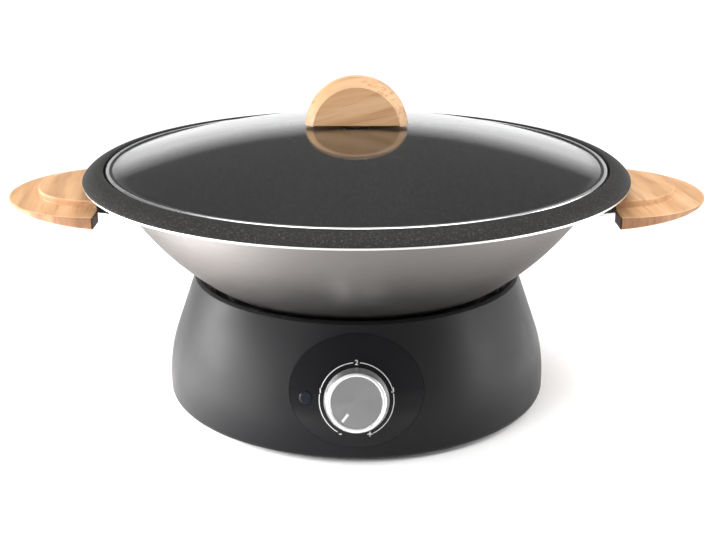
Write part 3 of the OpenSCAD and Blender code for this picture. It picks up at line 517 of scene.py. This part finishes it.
right_handle = disc_of_wood("handle_east", SLAB_X, SLAB_R, handle_low.z - 0.01, STEP_Z)
join_or_cut(right_handle, disc_of_wood("step", STEP_X, STEP_R, STEP_Z - 0.002, handle_high.z),
            "UNION")
cut_flat(right_handle, (SLAB_X, 0, 0), (1, 0, 0))
cut_flat(right_handle, (HOLLOW_R, 0, STEP_Z - SLAB_T),
         (-math.sin(SLOPE), 0, math.cos(SLOPE)))
join_or_cut(right_handle, disc_of_wood("hollow", 0, HOLLOW_R, 0, 0.2), "DIFFERENCE")
soften = right_handle.modifiers.new("soften", "BEVEL")
soften.width = HANDLE_EDGE
soften.segments = 3
soften.limit_method = "ANGLE"
soften.angle_limit = math.radians(40)
apply_all(right_handle)
bpy.ops.object.shade_smooth_by_angle(angle=math.radians(35))

bpy.ops.object.select_all(action="DESELECT")
right_handle.select_set(True)
bpy.context.view_layer.objects.active = right_handle
bpy.ops.object.duplicate()
left_handle = bpy.context.object
left_handle.name = "handle_west"
left_handle.scale.x = -1
bpy.ops.object.transform_apply(scale=True)
bpy.ops.object.mode_set(mode="EDIT")
bpy.ops.mesh.select_all(action="SELECT")
bpy.ops.mesh.normals_make_consistent(inside=False)
bpy.ops.object.mode_set(mode="OBJECT")


def wood(name, dark, mid, light, along, turn, shine=0.5):
    """Beech: soft growth bands and short fine flecks, both drawn out along the grain"""
    finish, tree, shader = new_finish(name, mid, 0.5, Specular_IOR_Level=shine)
    bands = grain(tree, 80, along, 5, turn)
    flecks = grain(tree, 420, along, 2, turn)
    blend = tree.nodes.new("ShaderNodeMix")
    blend.data_type = "RGBA"
    blend.blend_type = "MULTIPLY"
    blend.inputs["Factor"].default_value = 1
    tree.links.new(ramp(tree, bands, [(0.30, dark), (0.50, mid), (0.70, light)]),
                   blend.inputs["A"])
    tree.links.new(ramp(tree, flecks, [(0.32, (0.80, 0.73, 0.66)), (0.46, (1, 1, 1))]),
                   blend.inputs["B"])
    tree.links.new(blend.outputs["Result"], shader.inputs["Base Color"])
    tree.links.new(level(tree, flecks, 0.45, 0.56), shader.inputs["Roughness"])
    relief(tree, shader, flecks, 0.00004)
    return finish


beech = wood("beech", (0.46, 0.245, 0.115), (0.60, 0.345, 0.17), (0.70, 0.44, 0.24),
             (1, 0.06, 1), (0, 0, 0.125))
# Painted shade for the steep sides below the step: the same beech, darker.
painted_side_shade = wood("painted_side_shade", (0.15, 0.068, 0.030), (0.27, 0.135, 0.063), (0.37, 0.20, 0.10),
                  (1, 1, 0.25), (0, 0, 0), 0.25)
# Painted shade for the sawn ends and the hollow, over end grain that is a little darker in
# itself.
end_grain_painted_shade = wood("end_grain_painted_shade", (0.04, 0.014, 0.0065), (0.065, 0.026, 0.0125), (0.10, 0.045, 0.023),
                 (1, 1, 0.25), (0, 0, 0), 0.1)
for piece, node in ((right_handle, "handle_right"), (left_handle, "handle_left")):
    dress(piece, beech, painted_side_shade, end_grain_painted_shade)
    # Steep faces get the painted side shade, and sawn ones the darker painted end shade.
    for face in piece.data.polygons:
        sawn = (abs(abs(face.center.x) - SLAB_X) < 0.0009
                or math.hypot(*face.center.xy) < HOLLOW_R + 0.001)
        steep = abs(face.normal.z) < 0.3 and face.center.z < STEP_Z - 0.0002
        face.material_index = (2 if sawn else 1) if steep else 0
    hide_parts(node)
    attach(piece, "pan")

satin_bracket, tree, shader = new_finish("satin_bracket", (0.55, 0.55, 0.55), 0.3, 1.0)
tree.links.new(level(tree, grain(tree, 60, (1, 14, 1)), 0.25, 0.38), shader.inputs["Roughness"])
relief(tree, shader, grain(tree, 200, (1, 20, 1)), 0.00001)
for node in ("bracket_left", "bracket_right"):
    dress(nodes[node], satin_bracket)


# ---- Lid ---------------------------------------------------------------------
# Toughened glass, domed, with its edge held in a rolled band of polished steel
# over a thin dark seal.
glass_low, glass_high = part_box("lid_glass")
band_low, band_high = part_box("lid_band")
LID_R = band_high.x
GLASS_T, SCREW_R = 0.004, 0.004
BAND_IN, BAND_T = LID_R - 0.0045, 0.0008
EDGE_TOP = band_high.z - 0.001
rise = glass_high.z - EDGE_TOP
lip_r = LID_R - 0.0024
dome_r = (lip_r ** 2 + rise ** 2) / (2 * rise)
dome_z = glass_high.z - dome_r


def dome_arc(radius, r_start, r_end, count):
    """Points of an outline along the dome"""
    reach = [r_start + (r_end - r_start) * i / count for i in range(count + 1)]
    return [(r, dome_z + math.sqrt(radius ** 2 - r ** 2)) for r in reach]


glass = spun("lid_glass_dome", [
    (SCREW_R, dome_z + math.sqrt((dome_r - GLASS_T) ** 2 - SCREW_R ** 2)),
    *dome_arc(dome_r, SCREW_R, glass_high.x - 0.0004, 40),
    (glass_high.x, glass_low.z + 0.0015), (glass_high.x - 0.0004, glass_low.z + 0.0001),
    *dome_arc(dome_r - GLASS_T, glass_high.x - 0.006, SCREW_R, 40)], steps=180)
clear_glass, tree, shader = new_finish("clear_glass", (0.97, 0.985, 0.98), 0.02,
                                       Transmission_Weight=1.0, IOR=1.5)
tree.links.new(level(tree, grain(tree, 25), 0.0, 0.03), shader.inputs["Roughness"])
dress(glass, clear_glass)
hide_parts("lid_glass")
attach(glass, "lid")

band = spun("lid_band_rolled", [
    (BAND_IN, band_low.z), (LID_R - 0.0006, band_low.z),
    *bend(LID_R - BAND_T, band_low.z + BAND_T, BAND_T, -80, 0, 4),
    *bend(LID_R - 0.0013, band_high.z - 0.0013, 0.0013, 0, 90, 6),
    (LID_R - 0.0020, band_high.z), (LID_R - 0.0024, band_high.z - 0.0004),
    (LID_R - 0.0020, band_high.z - BAND_T), (LID_R - 0.0012, band_high.z - BAND_T),
    (LID_R - BAND_T, band_high.z - 0.0014), (LID_R - BAND_T, band_low.z + BAND_T),
    (BAND_IN, band_low.z + BAND_T), (BAND_IN, band_low.z)], steps=180)
bright_band, tree, shader = new_finish("bright_band", (0.92, 0.92, 0.92), 0.30, 1.0)
tree.links.new(level(tree, grain(tree, 80), 0.26, 0.34), shader.inputs["Roughness"])
relief(tree, shader, grain(tree, 300, (1, 1, 20)), 0.000006)
dress(band, bright_band)
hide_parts("lid_band")
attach(band, "lid")

seal = spun("lid_seal", [
    (LID_R - 0.0042, EDGE_TOP + 0.0006), (LID_R - 0.0026, EDGE_TOP + 0.0001),
    (LID_R - 0.0026, EDGE_TOP + 0.0007), (LID_R - 0.0031, EDGE_TOP + 0.0010),
    (LID_R - 0.0040, EDGE_TOP + 0.0010), (LID_R - 0.0042, EDGE_TOP + 0.0006)], steps=180)
dark_rubber, tree, shader = new_finish("dark_rubber", (0.012, 0.012, 0.012), 0.55)
relief(tree, shader, grain(tree, 1400), 0.00002)
dress(seal, dark_rubber)
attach(seal, "lid")


# ---- Grip --------------------------------------------------------------------
# A half round of beech, broad and bevelled, held by one screw through the
# glass with a thin washer above it and a dished one below.
grip_low, grip_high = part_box("lid_grip")
GRIP_R, GRIP_BEVEL, GRIP_EDGE = 0.0342, 0.0055, 0.0006
bpy.ops.mesh.primitive_cylinder_add(vertices=128, radius=GRIP_R, depth=grip_high.y - grip_low.y,
                                    location=(0, 0, grip_high.z - GRIP_R),
                                    rotation=(math.pi / 2, 0, 0))
grip = bpy.context.object
grip.name = "lid_grip_round"
bpy.ops.object.transform_apply(location=True, rotation=True)
bpy.ops.object.mode_set(mode="EDIT")
bpy.ops.mesh.select_all(action="SELECT")
bpy.ops.mesh.bisect(plane_co=(0, 0, grip_low.z), plane_no=(0, 0, 1), clear_inner=True,
                    use_fill=True)
bpy.ops.object.mode_set(mode="OBJECT")


def bevel_edges(piece, chosen, width, segments):
    """Bevels the edges whose two ends pass the test"""
    bpy.ops.object.select_all(action="DESELECT")
    piece.select_set(True)
    bpy.context.view_layer.objects.active = piece
    bpy.ops.object.mode_set(mode="EDIT")
    bpy.ops.mesh.select_mode(type="EDGE")
    bpy.ops.mesh.select_all(action="DESELECT")
    bpy.ops.object.mode_set(mode="OBJECT")
    spots = piece.data.vertices
    for edge in piece.data.edges:
        a, b = (spots[i].co for i in edge.vertices)
        edge.select = chosen(a, b)
    bpy.ops.object.mode_set(mode="EDIT")
    bpy.ops.mesh.bevel(offset=width, segments=segments, profile=0.5, affect="EDGES")
    bpy.ops.object.mode_set(mode="OBJECT")


def at_foot(a, b):
    """True of an edge of the flat underside, between these two ends"""
    return max(a.z, b.z) < grip_low.z + 1e-5


def round_rim(a, b):
    """True of an edge round the front or back face, but not along its foot"""
    return abs(a.y - b.y) < 1e-5 and abs(abs(a.y) - grip_high.y) < 1e-5 and not at_foot(a, b)


bevel_edges(grip, round_rim, GRIP_BEVEL, 1)
bevel_edges(grip, at_foot, GRIP_EDGE, 2)
bpy.ops.object.shade_smooth_by_angle(angle=math.radians(30))
grip_beech = wood("grip_beech", (0.46, 0.235, 0.105), (0.62, 0.36, 0.18), (0.74, 0.48, 0.27),
                  (0.06, 1, 1), (0, -0.22, 0))
dress(grip, grip_beech)
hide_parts("lid_grip")
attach(grip, "lid")

dress(nodes["grip_washer"], dark_rubber)
plated_steel, tree, shader = new_finish("plated_steel", (0.56, 0.56, 0.57), 0.3, 1.0)
tree.links.new(level(tree, grain(tree, 200), 0.24, 0.4), shader.inputs["Roughness"])
relief(tree, shader, grain(tree, 1200), 0.00001)
for node in ("inner_washer", "lid_screw", "handle_screws_left", "handle_screws_right",
             "base_screws", "reflector_screws", "plate_screws", "thermostat_nut", "spindle"):
    dress(nodes[node], plated_steel)


# ---- Heating -----------------------------------------------------------------
# A turned aluminium casting on three bosses, with a sheathed element in its
# underside, over a dish of aluminised sheet that throws the heat up.
cast_plate, tree, shader = new_finish("cast_plate", (0.42, 0.425, 0.43), 0.45, 1.0)
tree.links.new(level(tree, grain(tree, 90), 0.36, 0.55), shader.inputs["Roughness"])
relief(tree, shader, grain(tree, 500, detail=4), 0.00003)
dress(nodes["heating_plate"], cast_plate)

aluminised, tree, shader = new_finish("aluminised", (0.60, 0.59, 0.57), 0.33, 1.0)
tree.links.new(level(tree, grain(tree, 50), 0.28, 0.42), shader.inputs["Roughness"])
relief(tree, shader, grain(tree, 700), 0.00001)
dress(nodes["reflector"], aluminised)

sheath, tree, shader = new_finish("sheath", (0.10, 0.085, 0.075), 0.5, 0.8)
tree.links.new(ramp(tree, grain(tree, 70),
                    [(0.3, (0.07, 0.06, 0.055)), (0.7, (0.17, 0.13, 0.11))]),
               shader.inputs["Base Color"])
dress(nodes["heating_element"], sheath)


# ---- Inside the base ---------------------------------------------------------
# Thermostat with its copper sensing tube, ceramic block and fuse sleeve, and
# silicone leads from the inlet, none of which shows with the cover on.
glazed_tan, tree, shader = new_finish("glazed_tan", (0.46, 0.38, 0.27), 0.35)
relief(tree, shader, grain(tree, 800), 0.00002)
dress(nodes["thermostat"], glazed_tan)

glazed_white, tree, shader = new_finish("glazed_white", (0.74, 0.72, 0.66), 0.3)
relief(tree, shader, grain(tree, 800), 0.00002)
for node in ("terminal_block", "thermal_fuse"):
    dress(nodes[node], glazed_white)

drawn_copper, tree, shader = new_finish("drawn_copper", (0.72, 0.40, 0.25), 0.28, 1.0)
tree.links.new(level(tree, grain(tree, 300), 0.2, 0.38), shader.inputs["Roughness"])
dress(nodes["sensor_tube"], drawn_copper)

silicone_red, tree, shader = new_finish("silicone_red", (0.32, 0.04, 0.03), 0.5)
relief(tree, shader, grain(tree, 1200), 0.00002)
dress(nodes["wiring"], silicone_red)


# ---- Cover and inlet ---------------------------------------------------------
# A zinc-plated steel cover with cooling slots closes the base on four rubber
# feet. The inlet for the lead is a black moulding with three plated blades.
zinc, tree, shader = new_finish("zinc", (0.50, 0.50, 0.51), 0.36, 1.0)
tree.links.new(level(tree, grain(tree, 45, detail=5), 0.28, 0.5), shader.inputs["Roughness"])
relief(tree, shader, grain(tree, 600), 0.00001)
dress(nodes["bottom_plate"], zinc)
dress(nodes["feet"], dark_rubber)

inlet_black, tree, shader = new_finish("inlet_black", (0.015, 0.015, 0.015), 0.4)
relief(tree, shader, grain(tree, 2200), 0.00002)
dress(nodes["inlet_shell"], inlet_black)

plated_brass, tree, shader = new_finish("plated_brass", (0.76, 0.64, 0.40), 0.25, 1.0)
tree.links.new(level(tree, grain(tree, 500), 0.2, 0.35), shader.inputs["Roughness"])
dress(nodes["inlet_pins"], plated_brass)
